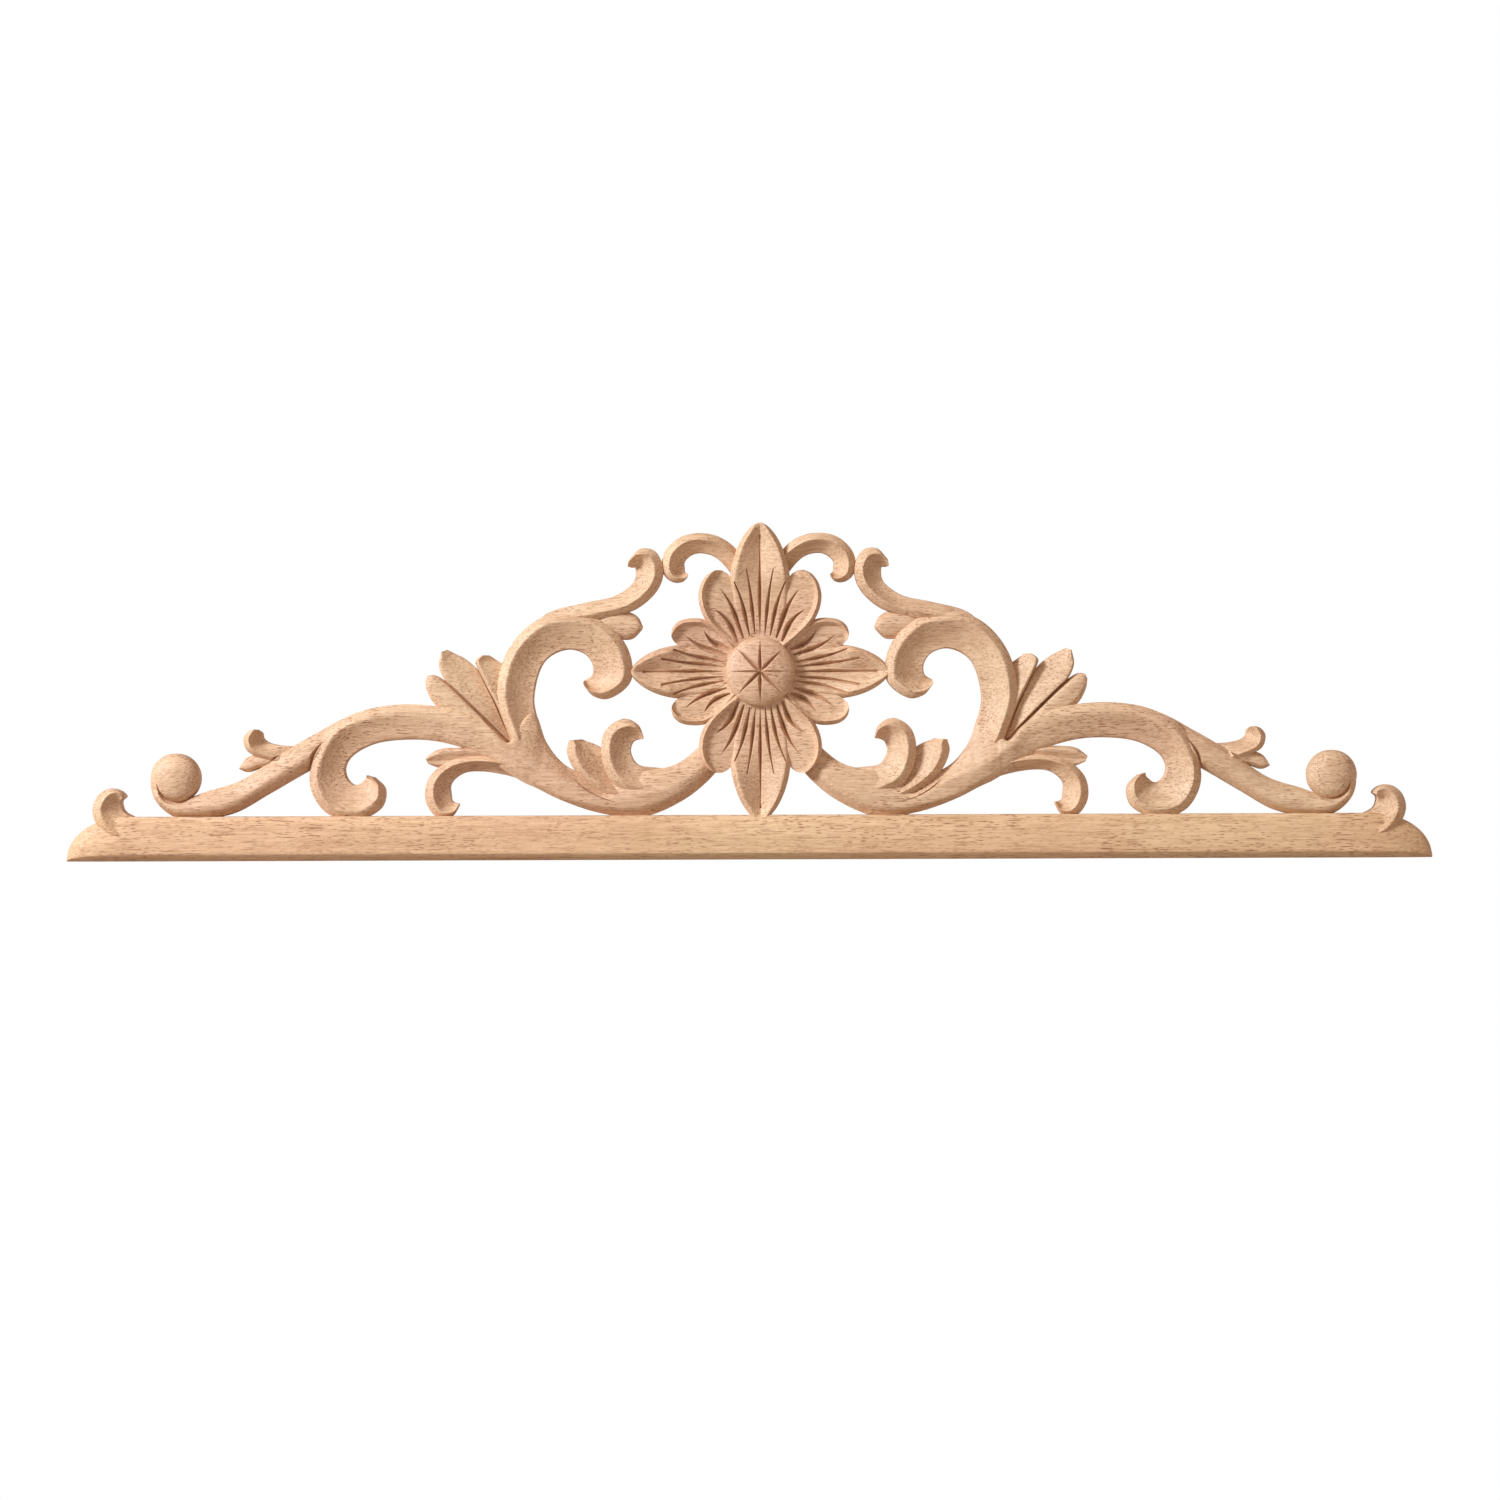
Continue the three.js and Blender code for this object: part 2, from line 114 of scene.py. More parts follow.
# A middle lobe's rim, and its fall to the middle line, in full on a wide lobe that stands
# clear of the others
LOBE_RIM = 2.2
LOBE_RIM_MOST = 0.16
LOBE_FALL = 4.2
LOBE_NARROW = 4
LOBE_WIDE = 18
LOBE_CLEAR_FROM = 0.28
LOBE_CLEAR_RUN = 0.15
LOBE_ROOT_FALL = 0.6

# A side lobe's rim, the dish behind it, and how far it dives under the middle lobe
SIDE_LOBE_RIM = 1.7
SIDE_LOBE_RIM_MOST = 0.25
SIDE_LOBE_CREASE = 3.3
SIDE_LOBE_CREASE_MOST = 0.45
SIDE_LOBE_DISH = 0.85
SIDE_LOBE_DIVE = 0.45

# Cuts of the flower. The veins' last rise and their depth change with their angle.
CUT_SLOPE = 0.42
CUT_STATIONS = 20
VEIN_DEPTH = 3.3
VEIN_FLOOR = 1.15
VEIN_BOW = 0.11
VEIN_RUNOUTS = ((0, -0.8), (7.5, 0.7), (16, 0.4))
VEIN_DEEPER = ((0, 1), (16, 1), (26, 1.25))
BOSS_CUT_DEPTH = 2.9
BOSS_CUT_LEVEL_SHARE = 0.5
BOSS_CUT_RUNOUT = 0.3
BOSS_CUT_FIRST_BITE = 0.8

# What the hand tools leave: how high, how far apart, and how high up it is in full
TOOLED_HEIGHT = 0.07
TOOLED_WAVE = 5.5
TOOLED_FULL = 4

# Edges that turn by more degrees than this are shaded as sharp
SHARP_ANGLE = 38

# Bare rubberwood, as linear colours, and the tints of the rail and of what stands on it
WOOD_ROSY = (0.665, 0.40, 0.245)
WOOD_MIDDLE = (0.69, 0.437, 0.258)
WOOD_PALE = (0.72, 0.48, 0.285)
WOOD_PORE = (0.3, 0.105, 0.04)
RAIL_TINT = (1.0, 0.985, 0.93)
CARVED_TINT = (1.0, 1.02, 1.06)
WOOD_ROUGHNESS = 0.6
FUZZ_STRENGTH = 0.65
FUZZ_DEPTH = 0.0004
PORE_STRENGTH = 0.4
PORE_DEPTH = 0.0003

# The photograph's view: how far off, how wide at the carving, what it aims at, its roll
CAMERA_DISTANCE = 2.6
CAMERA_WIDTH = 0.6612
CAMERA_AIM = (0.0004, 0.0383)
CAMERA_ROLL = 0.19

# Studio. The sky is given from straight below, 0, to straight above, 1.
KEY_AT = (-1.7, -1.22, 1.12)
KEY_AIM = (0, 0, 0.05)
KEY_SIZE = 0.55
KEY_POWER = 70
KEY_COLOUR = (0.87, 1.0, 1.13)
STUDIO_SKY = (
    (0.0, (0.22, 0.13, 0.08)), (0.405, (0.22, 0.13, 0.08)), (0.43, (1, 1, 1)),
    (0.57, (1, 1, 1)), (0.595, (0.45, 0.34, 0.27)), (1.0, (0.45, 0.34, 0.27)),
)
FLOOR_AT = -1.2
FLOOR_RADIUS = 6
FLOOR_COLOUR = (0.56, 0.5, 0.45)
FLOOR_ROUGHNESS = 0.9

# How soft a carved ridge is, and how fine the mesh is: the step along a band, and shares of
# the way across from an edge to its ridge, down the fall behind it, and between two corners
RIDGE_SOFTNESS = 0.3
BAND_STEP = 1.15
EDGE_STEPS = (0, 0.07, 0.2, 0.4, 0.62, 0.82, 0.94)
FALL_STEPS = (0, 0.05, 0.12, 0.22, 0.34, 0.48, 0.62, 0.76, 0.88, 0.96, 1)
RUN_STEPS = (0, 0.15, 0.4, 0.7, 0.9)

# Carved bands of one arm, from the flower's axis and the rail's top. Each row is one
# section: outer edge x, z, then inner edge x, z.
C_SCROLL = [
    (-105.5, 25, -96, 31.5), (-110.5, 34.5, -97.5, 40), (-115.5, 53, -99.5, 52),
    (-110.5, 73, -94.5, 68), (-95.5, 87, -84.5, 73), (-72, 87, -76.5, 70.5),
    (-58.5, 74, -73.5, 65.5), (-57, 59, -74, 61.5), (-67.2, 51.2, -76, 60),
    (-73.6, 52.6, -77.2, 59.4), (-77.3, 56.9, -77.7, 58.6),
]
UPPER_SCROLL = [
    (-101, 73.5, -105, 77), (-87, 83, -94, 88.5), (-69.5, 86.5, -76.5, 93.5),
    (-54, 91, -63.5, 96.5), (-44.5, 100, -55.5, 102.5), (-42.5, 108.5, -54.5, 107),
    (-46, 116, -55, 109), (-52.5, 117, -56.5, 109), (-57.5, 112, -58, 109.5),
]
CREST = [
    (-3.5, 105.5, -5, 92.5), (-12, 118.5, -12.5, 106), (-22, 123.5, -20.5, 114),
    (-34, 122.5, -28.5, 115), (-41.5, 116, -33, 111.5), (-43.2, 109, -33, 108.7),
    (-41.4, 104.6, -32.9, 107.2), (-37.2, 102.3, -32.4, 106.5), (-33.6, 102.9, -31.9, 106.1),
    (-31.9, 104.8, -31.6, 105.8),
]
# The main band: foot, trunk and arch in one, with its upper edge first
FOOT_ROWS = [
    (-18, 40, -12, 29), (-27, 30, -22.5, 15.7), (-37, 22.5, -35, 6), (-50, 19.5, -52.5, -0.8),
]
TRUNK_ROWS = [
    (-68, 16, -71, 1.2), (-85, 21.5, -88, 7), (-94, 31.8, -98.5, 12.2), (-98.6, 44, -103.5, 14.4),
    (-100.4, 45.2, -105, 15.2), (-105, 41, -108, 17), (-110.6, 32.2, -112.5, 20),
]
ARCH_ROWS = [
    (-122, 43.5, -121, 26), (-140.5, 48, -140.5, 32.5), (-158.5, 49, -157.5, 33.5),
    (-175.5, 46, -170.5, 31.5), (-188.5, 39, -180, 26), (-196.5, 26, -182.5, 21),
    (-197.5, 12.5, -181.5, 16.5), (-190.5, 1.5, -179, 14), (-177, -1.5, -176.5, 14),
    (-166.5, 4, -174.5, 15.5), (-165, 12, -173.5, 16.5), (-169.5, 17, -173, 18),
]
MAIN_BAND = FOOT_ROWS + TRUNK_ROWS + ARCH_ROWS
MAIN_SPANS = len(MAIN_BAND) - 1
STEM = [
    (-169.5, 35.5, -162, 44.5), (-182.5, 28, -177.5, 45), (-198.5, 20, -196, 36),
    (-216, 10, -211.5, 27), (-231.5, 1.5, -228, 16), (-245, -1, -242, 11.5), (-257.5, 0, -254, 8),
    (-265.5, 7, -261.5, 10), (-268, 15.5, -264, 15), (-266, 21.5, -265, 20.5),
]
LOWER_CURL = [
    (-70, 8.5, -69, 1.5), (-88, 15.5, -88, 7), (-107.5, 24, -105.5, 16), (-125, 26.5, -122.5, 19.5),
    (-138, 23.5, -131, 18.5), (-146, 16, -136, 14), (-147, 6.5, -136, 9), (-142, -0.5, -135.5, 6.5),
    (-135.5, 0, -133.5, 5.5), (-132.5, 4.5, -132.5, 5.5),
]
INNER_SCROLL = [
    (-32, 12, -30.5, 20), (-50.5, 8, -46, 21), (-65, 14.5, -54, 22.5), (-70, 28, -57, 28),
    (-67.5, 38, -56, 32), (-59.5, 42.5, -54.5, 33), (-53.5, 39.5, -52.5, 33.5),
    (-51.5, 34.5, -51.5, 33.5),
]
TWIG = [
    (-204.5, 19.5, -197, 31.5), (-216.5, 24.5, -207.5, 31), (-225.5, 29, -216, 32.5),
    (-227, 34.5, -218.5, 34.5), (-225, 37.3, -219, 36.8), (-222.6, 38.3, -221, 38.2),
]
BUD = [
    (-79, 85.5, -77, 80.5), (-61.5, 90, -65, 78), (-54, 87.5, -56.5, 77.5), (-51.5, 83, -52, 81.5),
]
CURL_LEAF = [
    (-112, 29, -112, 21), (-132.5, 30, -131, 22), (-142, 29, -140.5, 21), (-147, 25.5, -146, 23),
]
INNER_LEAF = [
    (-58, 5, -50, 10), (-70, 10, -59, 14), (-81, 19, -66.5, 21), (-85, 28, -70, 29.5),
    (-84, 33, -78.5, 33.5),
]
TWIG_LEAF = [
    (-207.5, 20.5, -207.5, 28.5), (-218.5, 21.5, -218.5, 28), (-225.5, 19.5, -225.5, 26),
    (-229, 21, -228, 23),
]
FAN_LEAVES = [
    [(-109, 31, -112, 29.5), (-125, 47, -128.5, 40), (-139.5, 60, -142.5, 48.5),
     (-143.5, 62, -146.5, 55.5), (-146, 61.5, -147, 59.5)],
    [(-109.5, 31.5, -108, 34), (-123.5, 45, -115, 49), (-136.5, 57, -122.5, 62),
     (-141, 65.5, -129, 68.5), (-140, 72, -137.5, 73)],
    [(-109.5, 32.5, -106.5, 34), (-115.5, 48, -107.5, 51), (-123.5, 63, -110, 65),
     (-125, 68, -114.5, 67.5), (-122, 70.5, -119, 70.5)],
]
# Creases that are cut in between the bands: x, z and the height of the crease's floor
CREASES = [
    [(-186.5, 37.5, 14.2), (-192.4, 32.3, 11.8), (-196.2, 27, 10.5), (-198.6, 18.5, 9)],
    [(-110.4, 32.6, 9.4), (-118, 39.8, 8.6), (-125.5, 47, 8.6), (-133, 54.2, 8.8),
     (-141.5, 61.8, 8.6)],
    [(-110, 33.5, 9), (-113.2, 41.4, 8), (-116.4, 49, 7.8), (-120.4, 57, 7.8), (-125.3, 66.8, 7.6)],
    [(-265, 14.4, 13.4), (-263.6, 10.6, 11), (-260, 7.4, 10), (-254, 6.6, 10), (-249, 9.6, 10),
     (-245, 14, 9)],
    [(-226, 17.4, 10), (-215.5, 24.2, 10.2), (-206.5, 30, 10.8), (-197, 35.8, 12.8)],
    [(-86, 24, 10.2), (-82.6, 17.6, 11.4), (-78, 12.6, 12), (-70, 7.9, 12.8), (-62, 5.4, 14)],
]
# How far each of those creases opens to either side, for each unit of its depth
CREASE_SLOPES = (0.42, 0.24, 0.24, 0.42, 0.36, 0.36)
# The curl at each end of the rail, from the rail's own end
END_CURL = [
    (27, -13, 41, -7.5), (16.5, -7, 32.5, -1.5), (12, 2, 25.5, 2.5), (14, 9, 24.3, 5.6),
    (19.3, 12.5, 24.3, 7), (23.6, 11.6, 25, 8), (26, 9.6, 26, 8.6),
]
BALL_AT = (-257, 17)
BALL_RADIUS = 10.8

# Profiles of the carved sections. Each is the share of its band's length that it holds for,
# and its points: shares of the width, and heights above the band's level.
STEM_PROFILES = (
    (0, ((0, -6), (0.22, -1.4), (0.42, 0), (0.84, -2), (1, -4.6))),
    (0.5, ((0, -4.8), (0.18, -1.2), (0.4, 0), (0.84, -1.9), (1, -4.4))),
    (0.8, ((0, -4), (0.2, -1), (0.45, 0), (0.8, -1), (1, -2.8))),
    (0.9, ((0, -9), (0.2, -5.6), (0.5, -2.4), (0.8, -0.4), (1, 0))),
    (1, ((0, -9), (0.2, -5.6), (0.5, -2.4), (0.8, -0.4), (1, 0))),
)
LEAF_PROFILE = (0, ((0, -3), (0.2, -0.2), (0.5, 0), (0.8, -0.8), (1, -3)))
DISHED_LEAF_PROFILE = (0, ((0, -2.4), (0.14, 0), (0.28, -0.5), (0.6, -2.4), (0.86, -1.8), (1, -3)))
FAN_LEAF_PROFILES = (
    (0, ((0, -2.6), (0.1, -0.5), (0.4, 0), (0.8, -0.4), (1, -2.6))),
    (0, ((0, -1.6), (0.07, 0.4), (0.5, -1.6), (0.9, -3.4), (1, -4.4))),
    (0, ((0, -1.4), (0.1, 0.3), (0.3, -1), (0.85, -3.6), (1, -4.6))),
)
FAN_LEAF_SOFTNESS = (0.7, 0.35, 0.35)

# Flower, from its own centre. A pointed lobe has its greatest half width at the distance
# `belly` and its tip at `reach`. Its neck is given as shares of those two. Veins: degrees
# from the middle line, and their reach.
UPRIGHT = {"belly": 35, "reach": 65.5, "half": 13.5, "blunt": 0.6}
LEVEL = {"belly": 33, "reach": 57, "half": 11.8, "blunt": 0.65}
UPRIGHT_SIDE_LOBE = [
    (-11, 10, -3.5, 14.5), (-17, 15, -6.5, 23.5), (-22.5, 20.5, -8.5, 30), (-26, 27, -10, 35),
    (-27, 33.5, -12, 39), (-25.5, 39.3, -13.5, 42.3), (-22.8, 42.8, -16.5, 44.3), (-20.2, 44.2, -19, 44.5),
]
LEVEL_SIDE_LOBE = [
    (11, 10, 5, 13), (19, 18, 6.5, 20), (23, 24.5, 8, 26.5), (23.5, 30, 9.5, 31.5),
    (22.5, 35, 11, 35), (20, 38, 12.5, 37), (17.5, 38.9, 13.8, 38.2), (16, 39, 15, 38.8),
]
LOBE_ROOT_HALF = 5
LOBE_ROOT_AT = 10
LOBE_NECK_HALF = 0.85
LOBE_NECK_AT = 0.62
LOBE_TIP_AT = 0.995
LOBE_TURNS = 5
UPRIGHT_VEINS = [(0, 60), (7.5, 45.5), (16, 41), (26, 41.5), (36, 33.5)]
LEVEL_VEINS = [(0, 51.5), (7.5, 44), (14.5, 39.5), (26, 37), (36, 30.5)]
VEIN_START = BOSS_RADIUS + 1.1
BOSS_CUT_START = -0.4
BOSS_CUT_REACH = 0.96 * BOSS_RADIUS


def clamp(value, low=0.0, high=1.0):
    return min(high, max(low, value))


def smooth_step(value):
    value = np.clip(value, 0, 1)
    return value * value * (3 - 2 * value)


def soft_min(a, b, softness=RIDGE_SOFTNESS):
    """The lower of two heights, rounded where they cross, as a worn ridge is."""
    return -softness * np.logaddexp(-a / softness, -b / softness)


def smooth_edge(points, shares):
    """Points of a centripetal Catmull-Rom curve through `points`, at shares of its spans."""
    p = np.asarray(points, float)
    ends = np.vstack([2 * p[0] - p[1], p, 2 * p[-1] - p[-2]])
    at = np.asarray(shares) * (len(p) - 1)
    span = np.minimum(at.astype(int), len(p) - 2)
    f = (at - span)[:, None]
    q = [ends[span + k] for k in range(4)]
    gaps = [np.linalg.norm(q[k + 1] - q[k], axis=1)[:, None] for k in range(3)]
    a, b, c = [np.sqrt(np.maximum(gap, 1e-4)) for gap in gaps]
    start = ((q[1] - q[0]) / a - (q[2] - q[0]) / (a + b) + (q[2] - q[1]) / b) * b
    end = ((q[2] - q[1]) / b - (q[3] - q[1]) / (b + c) + (q[3] - q[2]) / c) * b
    square = 3 * (q[2] - q[1]) - 2 * start - end
    cube = 2 * (q[1] - q[2]) + start + end
    return q[1] + start * f + square * f**2 + cube * f**3


def stations_of(rows, step):
    """Shares along a band whose sections are about `step` apart on its longer edge."""
    rows = np.asarray(rows, float)
    shares = np.linspace(0, 1, 40 * len(rows))
    outer = smooth_edge(rows[:, :2], shares)
    inner = smooth_edge(rows[:, 2:], shares)
    moves = [np.linalg.norm(np.diff(line, axis=0), axis=1) for line in (outer, inner)]
    run = np.concatenate([[0], np.cumsum(np.maximum(*moves))])
    count = max(4, round(run[-1] / step))
    return np.interp(np.linspace(0, run[-1], count + 1), run, shares)


# Cross-sections. Each is a function of the band's width and the share of its length. It
# gives the share of the width where its ridge lies, or those of all its corners, and a
# function from places across the band, 0 on the outer edge and 1 on the inner one, to
# heights above the band's level.
def scroll_section(cove=((0, 1),), bevel=((0, 1),), rim_width=RIM_WIDTH):
    """A rolled rim on the outer edge, and a cove that falls to the inner edge."""
    def section(width, share):
        ridge = min(RIM_SHARE, rim_width / width)
        fall = COVE_FALL * np.interp(share, *zip(*cove))
        drop = RIM_BEVEL * np.interp(share, *zip(*bevel))

        def heights(a):
            rim = drop * ((a / ridge) ** RIM_CURVE - 1)
            down = 1 - (a - ridge) / (1 - ridge)
            lip = COVE_LIP * np.clip((a - 1 + COVE_LIP_SHARE) / COVE_LIP_SHARE, 0, 1)
            return soft_min(rim, -fall * (1 - down**COVE_CURVE)) - lip
        return ridge, heights
    return section


def carved_section(*profiles, softness=0.7):
    """A section drawn as straight runs with softened corners, which changes along the band."""
    shares = [share for share, _ in profiles]
    lines = np.array([points for _, points in profiles], float)

    def section(width, share):
        corners = range(lines.shape[1])
        xs, ys = [tuple(np.interp(share, shares, lines[:, k, j]) for k in corners) for j in (0, 1)]
        # A small bell-shaped average rounds the corners
        spread = min(softness / width, 0.08)
        offsets = spread * np.array([-1.8, -1.2, -0.6, 0, 0.6, 1.2, 1.8])
        weights = np.exp(-(offsets / spread) ** 2 / 2)

        def line(a):
            first = ys[0] + (a - xs[0]) * (ys[1] - ys[0]) / (xs[1] - xs[0])
            last = ys[-1] + (a - xs[-1]) * (ys[-1] - ys[-2]) / (xs[-1] - xs[-2])
            return np.where(a < xs[0], first, np.where(a > xs[-1], last, np.interp(a, xs, ys)))

        def heights(a):
            return sum(w * line(a + o) for w, o in zip(weights, offsets)) / weights.sum()
        return xs, heights
    return section


def blended(first, second, weights):
    """One section that turns into another along the band."""
    def section(width, share):
        weight = np.interp(share, *zip(*weights))
        corners, heights_a = first(width, share)
        _, heights_b = second(width, share)
        return corners, lambda a: heights_a(a) * (1 - weight) + heights_b(a) * weight
    return section


def root_dish(way):
    """Depth of the petals' dish, less at their root; `way` is 0 there and 1 where it is full."""
    return PETAL_DISH * (ROOT_DISH + (1 - ROOT_DISH) * clamp(way))


def lobe_section(width, share):
    """A lobe between two rims, with its halves falling to its middle line."""
    dish = root_dish(share / ROOT_DISH_SHARE)
    clear = clamp((share - LOBE_CLEAR_FROM) / LOBE_CLEAR_RUN)
    rim_share = min(LOBE_RIM_MOST, LOBE_RIM / width)
    depth = LOBE_FALL * clamp((width - LOBE_NARROW) / (LOBE_WIDE - LOBE_NARROW))

    def heights(a):
        side = 0.5 - np.abs(a - 0.5)
        edge = PETAL_BEVEL * ((side / rim_share) ** PETAL_RIM_CURVE - 1)
        fall = -depth * np.clip((side - rim_share) / (0.5 - rim_share), 0, 1)
        inner = -dish - LOBE_ROOT_FALL * np.clip((side - 0.1) / 0.4, 0, 1)
        return soft_min(edge - dish * (1 - clear), fall * clear + inner * (1 - clear))
    return rim_share, heights


def side_lobe_section(width, share):
    """A lobe with a rolled rim on its outer edge, which dives under the middle lobe."""
    dish = root_dish(share / ROOT_DISH_SHARE)
    rim_share = min(SIDE_LOBE_RIM_MOST, SIDE_LOBE_RIM / width)
    crease = min(SIDE_LOBE_CREASE_MOST, SIDE_LOBE_CREASE / width)

    def heights(a):
        edge = PETAL_BEVEL * ((a / rim_share) ** PETAL_RIM_CURVE - 1)
        inner = -SIDE_LOBE_DISH * dish * smooth_step((a - rim_share) / (crease - rim_share))
        dive = -SIDE_LOBE_DIVE * dish * np.clip((a - crease) / (1 - crease), 0, 1)
        return soft_min(edge, inner + dive)
    return rim_share, heights


def places_across(ridge, mirrored):
    """Where a section is sampled: close together at its edges and its ridge."""
    if isinstance(ridge, tuple):
        runs = [[a + (b - a) * s for s in RUN_STEPS] for a, b in zip(ridge, ridge[1:])]
        return np.array(sum(runs, []) + [1.0])
    if mirrored:
        half = [ridge * s for s in EDGE_STEPS] + [ridge + (0.5 - ridge) * s for s in FALL_STEPS]
        return np.array(half + [1 - a for a in half[-2::-1]])
    return np.array([ridge * s for s in EDGE_STEPS] + [ridge + (1 - ridge) * s for s in FALL_STEPS])


def band(rows, section, level, place, sink=(0, 0), run=0.25, mirrored=False):
    """Rings of a carved band.

    `sink` is how far its ends go down into what they grow from, and `run` over which share
    of its length. A mirrored band has a rim on both edges.
    """
    rows = np.asarray(rows, float)
    shares = stations_of(rows, BAND_STEP)
    edges = [smooth_edge(rows[:, side], shares) for side in (slice(0, 2), slice(2, 4))]
    rings = []
    for share, a, b in zip(shares, *edges):
        width = max(float(np.linalg.norm(b - a)), 0.05)
        fade = min(1.0, width / (2 * RIM_WIDTH))
        at_start = max(0.0, 1 - share / run)
        at_end = max(0.0, 1 - (1 - share) / run)
        sunk = sink[0] * at_start**1.5 + sink[1] * at_end**1.5
        ridge, heights = section(width, share)
        across = places_across(ridge, mirrored)
        rises = heights(across) * fade - TIP_DROP * (1 - fade) - sunk
        ring = []
        for t, rise in zip(across, rises):
            x, z = place(*(a + (b - a) * t))
            ring.append((x, -level(x, z) - rise, z))
        ends = [place(*b), place(*a)]
        rings.append(ring + [(x, 0.0, z) for x, z in ends])
    return rings


def walls(rings, count):
    """Faces between rings that follow each other, each of `count` points."""
    faces = []
    for k in range(rings - 1):
        for j in range(count):
            a, b = k * count + j, k * count + (j + 1) % count
            faces.append((a, b, b + count, a + count))
    return faces


def closed_mesh(name, rings):
    """A closed mesh from rings of points. A ring needn't be flat, so its ends are fans."""
    count = len(rings[0])
    faces = walls(len(rings), count)
    last = (len(rings) - 1) * count
    for corners in (range(count)[::-1], range(last, last + count)):
        faces += [(corners[0], corners[j], corners[j + 1]) for j in range(1, count - 1)]
    return mesh_object(name, np.array(rings, float).reshape(-1, 3), faces)


def mesh_object(name, points, faces):
    """An object from points in drawing units, with its faces pointing out."""
    points = points * UNIT
    # Where the volume comes out negative, the faces point in
    volume = 0.0
    for face in faces:
        for j in range(1, len(face) - 1):
            a, b, c = points[face[0]], points[face[j]], points[face[j + 1]]
            volume += float(np.dot(a, np.cross(b, c)))
    if volume < 0:
        faces = [tuple(reversed(face)) for face in faces]
    mesh = bpy.data.meshes.new(name)
    mesh.from_pydata([tuple(map(float, p)) for p in points], [], faces)
    mesh.update()
    piece = bpy.data.objects.new(name, mesh)
    bpy.context.scene.collection.objects.link(piece)
    return piece


def combined(first, second, operation):
    """Joins or cuts two closed meshes, and keeps the result in the first one."""
    modifier = first.modifiers.new("combine", "BOOLEAN")
    modifier.object = second
    modifier.operation = operation
    modifier.solver = "MANIFOLD"
    graph = bpy.context.evaluated_depsgraph_get()
    result = bpy.data.meshes.new_from_object(first.evaluated_get(graph))
    first.modifiers.clear()
    old = first.data
    first.data = result
    bpy.data.meshes.remove(old)
    bpy.data.objects.remove(second)
    return first


def joined(solids):
    """One closed mesh from many that overlap, joined two by two."""
    while len(solids) > 1:
        pairs = [solids[k:k + 2] for k in range(0, len(solids), 2)]
        solids = [combined(*pair, "UNION") if len(pair) == 2 else pair[0] for pair in pairs]
    return solids[0]


def rail():
    """The rail: one moulded section, swept from end to end, with its ends rounded over."""
    front = [
        (RAIL_FRONT - RAIL_CHAMFER_SETBACK, 0),
        (RAIL_FRONT - RAIL_EDGE, RAIL_CHAMFER - RAIL_EDGE),
        (RAIL_FRONT - RAIL_EDGE / 4, RAIL_CHAMFER + RAIL_EDGE),
    ]
    for share in RAIL_STATIONS:
        way = max(0.0, (share - RAIL_CROWN_FROM) / (1 - RAIL_CROWN_FROM))
        front.append((RAIL_FRONT - RAIL_CROWN * way**RAIL_CROWN_CURVE, share * RAIL_HEIGHT))

    def ring(x, rise, depth):
        points = [(x, -y * depth, -RAIL_TOP + z * rise) for y, z in front]
        return points + [(x, 0.0, -RAIL_TOP + RAIL_HEIGHT * rise), (x, 0.0, -RAIL_TOP)]

    def end(side):
        rings = []
        for k in range(RAIL_END_TURNS + 1):
            angle = math.pi / 2 * k / RAIL_END_TURNS
            inward = RAIL_END_ROUND * (1 - math.cos(angle))
            rise = max(RAIL_END_LIP, math.sin(angle))
            depth = RAIL_END_DEPTH + (1 - RAIL_END_DEPTH) * math.sin(angle)
            rings.append(ring(side * (DRAWING_LENGTH / 2 - inward), rise, depth))
        return rings

    half = DRAWING_LENGTH / 2 - RAIL_END_ROUND
    middle = [ring(x, 1, 1) for x in np.linspace(-half, half, round(2 * half / RAIL_STEP))[1:-1]]
    return closed_mesh("rail", end(-1) + middle + end(1)[::-1])


def dome(name, centre, radius, edge, top, around, turns):
    """A round dome on a straight wall that stands on the back plane, rising towards -Y."""
    angles = [2 * math.pi * k / around for k in range(around)]
    compass = [(math.cos(angle), math.sin(angle)) for angle in angles]
    levels = [(0.0, radius)]
    for k in range(turns):
        angle = math.pi / 2 * k / turns
        levels.append((edge + (top - edge) * math.sin(angle), radius * math.cos(angle)))
    points = [(centre[0] + r * c, -y, centre[1] + r * s) for y, r in levels for c, s in compass]
    faces = walls(len(levels), around)
    base, tip = len(points), len(points) + 1
    points += [(centre[0], 0.0, centre[1]), (centre[0], -top, centre[1])]
    last = (len(levels) - 1) * around
    for j in range(around):
        after = (j + 1) % around
        faces += [(after, j, base), (last + j, last + after, tip)]
    return mesh_object(name, np.array(points), faces)


def on_arm(side, share):
    """Puts a point of an arm's drawing on the board, on side -1, the left, or 1."""
    return lambda x, z: (FLOWER_X - side * x * share, RAIL_TOP + z)


def crease_cuts(side, share):
    """V-shaped cuts along the creases of one arm."""
    place = on_arm(side, share)
    cuts = []
    for points, slope in zip(CREASES, CREASE_SLOPES):
        points = np.array(points)
        shares = np.linspace(0, 1, 8 * len(points))
        line = smooth_edge(points[:, :2], shares)
        floors = np.interp(shares, np.linspace(0, 1, len(points)), points[:, 2])
        ahead = np.gradient(line, axis=0)
        ahead /= np.linalg.norm(ahead, axis=1)[:, None]
        rings = []
        for (x, z), (dx, dz), low in zip(line, ahead, floors):
            half = slope * (CREASE_TOP - low)
            corners = [
                (x, z, low),
                (x + dz * half, z - dx * half, CREASE_TOP),
                (x - dz * half, z + dx * half, CREASE_TOP),
            ]
            placed = [(*place(cx, cz), height) for cx, cz, height in corners]
            rings.append([(px, -height, pz) for px, pz, height in placed])
        cuts.append(closed_mesh("crease", rings))
    return cuts


